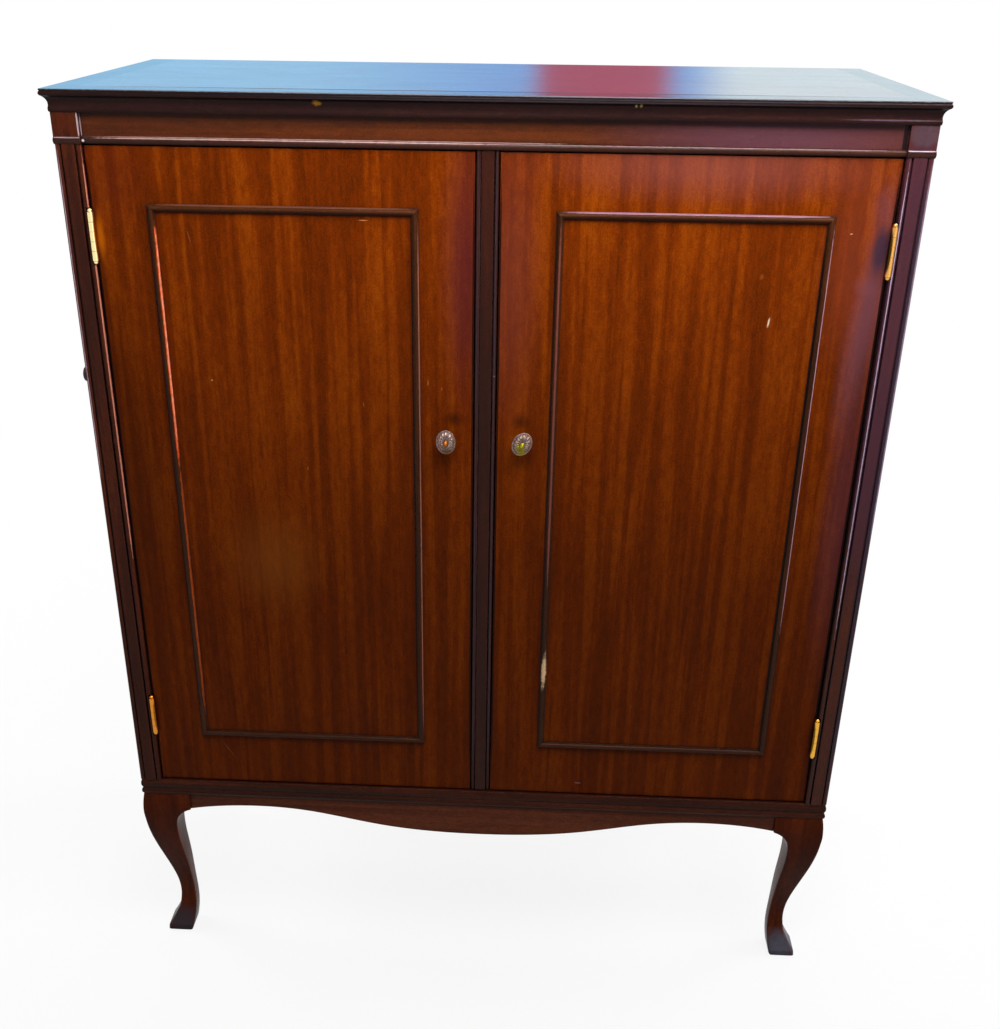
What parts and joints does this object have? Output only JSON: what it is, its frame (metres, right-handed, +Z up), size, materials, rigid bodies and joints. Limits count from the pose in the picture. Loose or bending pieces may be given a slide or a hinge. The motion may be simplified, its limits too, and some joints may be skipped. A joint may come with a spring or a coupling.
{
  "type": "record cabinet",
  "caption": "Tall record cabinet with flush moulded doors on butt hinges, turning latch knobs, divided shelves, a moulded top and cabriole legs.",
  "frame": {"origin": "centre of the overall box at floor level", "axes": "+X to the right seen from the front, +Y to the back, +Z up"},
  "size_m": [1.016, 0.476, 1.241],
  "materials": {
    "polished_mahogany": "glossy",
    "striped_mahogany": "glossy",
    "top_mahogany": "glossy",
    "side_mahogany": "glossy",
    "inner_wood": "satin",
    "plywood": "satin",
    "dark_wood": "satin",
    "polished_brass": "polished",
    "brass_screws": "satin",
    "worn_brass": "worn",
    "dull_brass": "dull",
    "steel_screws": "satin"
  },
  "bodies": {
    "cabinet": {"apron_back": "polished_mahogany", "apron_front": "polished_mahogany", "apron_left": "polished_mahogany", "apron_right": "polished_mahogany", "back_panel": "plywood", "back_panel_screws": "steel_screws", "back_top_rail": "inner_wood", "base_rail_back": "polished_mahogany", "base_rail_front": "polished_mahogany", "base_rail_left": "polished_mahogany", "base_rail_right": "polished_mahogany", "bottom_board": "inner_wood", "centre_mullion": "polished_mahogany", "centre_partition": "inner_wood", "cornice_front": "polished_mahogany", "cornice_left": "polished_mahogany", "cornice_right": "polished_mahogany", "door_stops": "inner_wood", "frieze_bead": "polished_mahogany", "frieze_rail": "polished_mahogany", "front_post_left": "polished_mahogany", "front_post_right": "polished_mahogany", "glue_blocks": "inner_wood", "hinge_pins": "polished_brass", "hinge_post_leaves": "polished_brass", "hinge_post_screws": "brass_screws", "leg_front_left": "polished_mahogany", "leg_front_right": "polished_mahogany", "leg_rear_left": "polished_mahogany", "leg_rear_right": "polished_mahogany", "post_beads": "polished_mahogany", "rear_post_left": "polished_mahogany", "rear_post_right": "polished_mahogany", "record_dividers_left": "plywood", "record_dividers_right": "plywood", "shelf_cleats": "inner_wood", "shelf_lower_left": "inner_wood", "shelf_lower_right": "inner_wood", "shelf_upper_left": "inner_wood", "shelf_upper_right": "inner_wood", "side_button": "dark_wood", "side_panel_left": "side_mahogany", "side_panel_right": "side_mahogany", "side_top_rail_left": "polished_mahogany", "side_top_rail_right": "polished_mahogany", "top_panel": "top_mahogany"},
    "left_door": {"door_left": "striped_mahogany", "door_moulding_rails_left": "polished_mahogany", "door_moulding_uprights_left": "polished_mahogany", "hinge_door_leaves_left": "polished_brass", "hinge_door_screws_left": "brass_screws"},
    "right_door": {"door_moulding_rails_right": "polished_mahogany", "door_moulding_uprights_right": "polished_mahogany", "door_right": "striped_mahogany", "hinge_door_leaves_right": "polished_brass", "hinge_door_screws_right": "brass_screws"},
    "left_knob": {"knob_left": "worn_brass", "latch_tongue_left": "dull_brass"},
    "right_knob": {"knob_right": "worn_brass", "latch_tongue_right": "dull_brass"}
  },
  "joints": [
    {"name": "left_door_swing", "type": "hinge", "parent": "cabinet", "child": "left_door", "pos_m": [-0.46825, -0.217, 0.738], "axis": [0, 0, -1], "range_deg": [0, 170]},
    {"name": "right_door_swing", "type": "hinge", "parent": "cabinet", "child": "right_door", "pos_m": [0.46825, -0.217, 0.738], "axis": [0, 0, 1], "range_deg": [0, 170]},
    {"name": "left_knob_turn", "type": "hinge", "parent": "left_door", "child": "left_knob", "pos_m": [-0.0477, -0.212, 0.8355], "axis": [0, -1, 0], "range_deg": [0, 90]},
    {"name": "right_knob_turn", "type": "hinge", "parent": "right_door", "child": "right_knob", "pos_m": [0.0477, -0.212, 0.8355], "axis": [0, 1, 0], "range_deg": [0, 90]}
  ]
}
